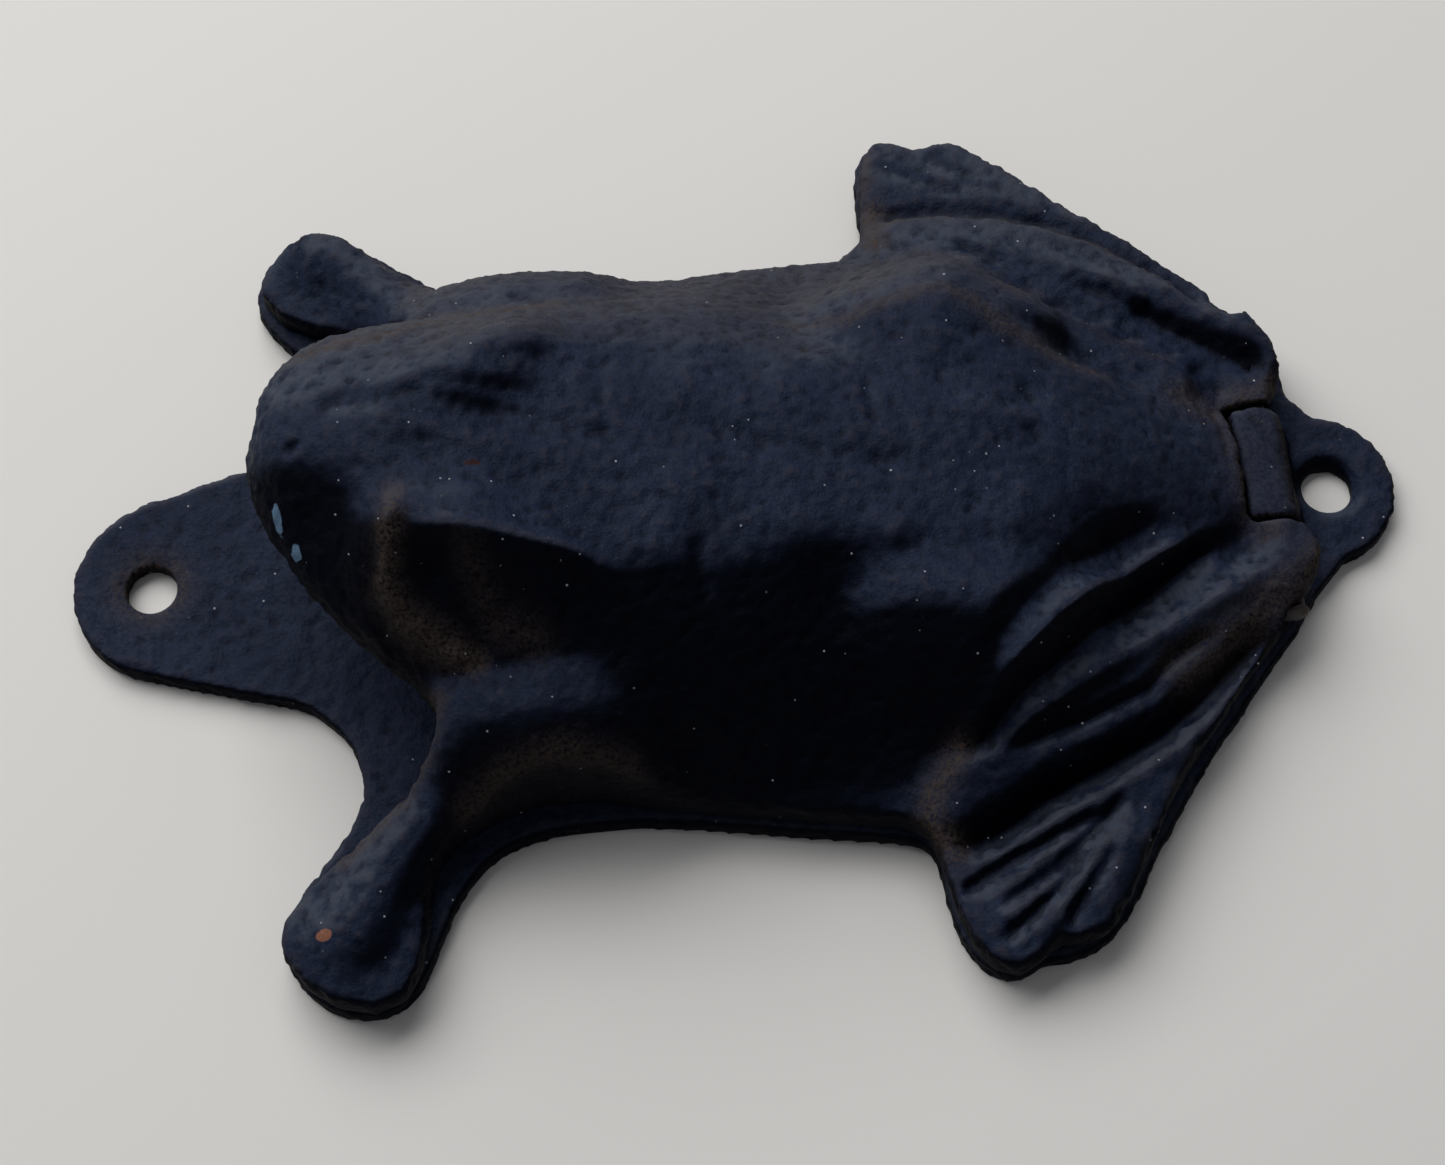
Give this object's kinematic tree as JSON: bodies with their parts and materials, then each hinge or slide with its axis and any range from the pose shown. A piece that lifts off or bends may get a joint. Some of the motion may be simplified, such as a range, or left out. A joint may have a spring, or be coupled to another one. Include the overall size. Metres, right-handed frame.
{
  "type": "door knocker",
  "caption": "Cast-iron frog door knocker: a hollow frog casting hinged at its ankles to a flat frog-shaped back plate with a screw-hole tab at each end.",
  "frame": {"origin": "on the back plate's flat rear face, on the frog's centre line, midway along X between the two screw holes", "axes": "+X from the frog's head to its tail, +Z out of the door through the frog's back, +Y across the frog"},
  "size_m": [0.1617, 0.1126, 0.0365],
  "materials": {
    "plate_iron": "dark navy-blue paint over coarse sand-cast iron, with rust-brown dust",
    "frog_iron": "dark navy-blue paint over pitted sand-cast iron, worn to rust-brown on the ridges",
    "pin_steel": "hammered steel, dulled and rust-stained"
  },
  "bodies": {
    "plate": {"back_plate": "plate_iron", "hinge_pin": "pin_steel"},
    "frog": {"frog_casting": "frog_iron"}
  },
  "joints": [
    {"name": "frog_hinge", "type": "hinge", "parent": "plate", "child": "frog", "pos_m": [0.0634, 0, 0.0067], "axis": [0, 1, 0], "range_deg": [0, 65]}
  ]
}
